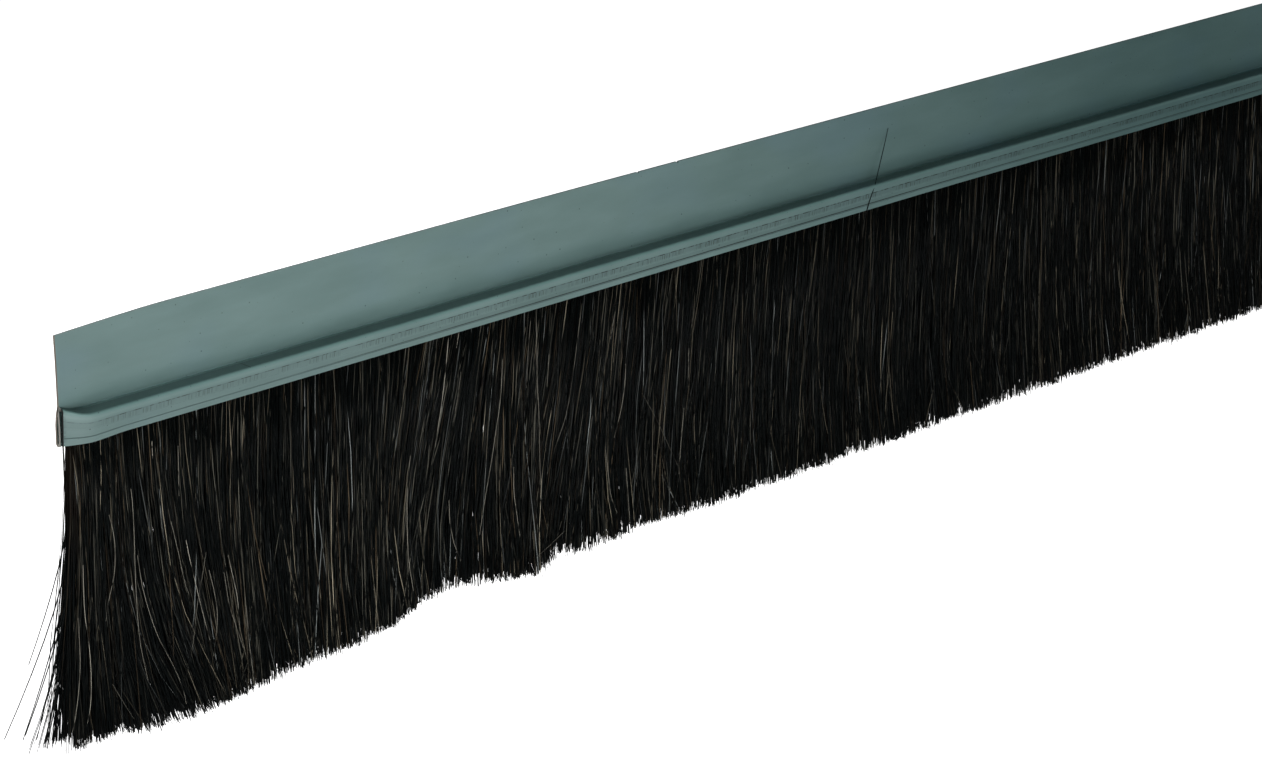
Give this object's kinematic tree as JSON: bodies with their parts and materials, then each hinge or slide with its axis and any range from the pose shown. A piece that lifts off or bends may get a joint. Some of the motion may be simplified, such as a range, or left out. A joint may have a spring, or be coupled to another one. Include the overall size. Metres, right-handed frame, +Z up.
{
  "type": "brush seal strip",
  "caption": "Straight brush seal: a folded steel carrier with a flat fixing fin and a crimped channel that holds a dense fill of dark hair bristles.",
  "frame": {"origin": "on the flat back face that is fixed to the door, half way along the strip and half way up the fin", "axes": "+X along the strip away from its squashed near end, +Y out of the back face towards the door, +Z up the fin, away from the bristles"},
  "size_m": [1.0001, 0.0073, 0.0856],
  "materials": {
    "carrier_steel": "satin grey-green coat on thin folded steel",
    "wire": "drawn steel wire",
    "hair": "natural dark hair, black to brown with single light hairs"
  },
  "bodies": {
    "root": {"carrier": "carrier_steel", "core_wire": "wire", "bristles": "hair"}
  },
  "joints": []
}
